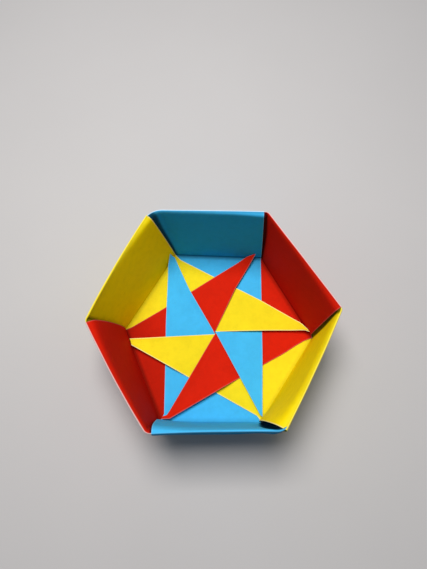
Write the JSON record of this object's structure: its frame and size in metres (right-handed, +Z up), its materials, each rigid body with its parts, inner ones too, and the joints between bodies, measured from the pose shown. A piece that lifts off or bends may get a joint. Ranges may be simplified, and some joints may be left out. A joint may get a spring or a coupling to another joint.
{
  "type": "origami hexagonal box",
  "caption": "Open hexagonal tray of interlocked folded paper sheets, with double walls that lean outwards, tabs in pockets at the corners and a pinwheel floor of overlapping flaps.",
  "frame": {"origin": "middle of the floor, on the underside that rests on the table", "axes": "+Z up out of the open top, +Y towards the blue back wall, +X to the right across two floor corners"},
  "size_m": [0.0966, 0.0878, 0.0376],
  "materials": {
    "blue_paper": "matte dyed paper",
    "red_paper": "matte dyed paper",
    "yellow_paper": "matte dyed paper"
  },
  "bodies": {
    "root": {"blue_back_unit": "blue_paper", "red_back_right_unit": "red_paper", "yellow_front_right_unit": "yellow_paper", "blue_front_unit": "blue_paper", "red_front_left_unit": "red_paper", "yellow_back_left_unit": "yellow_paper"}
  },
  "joints": []
}
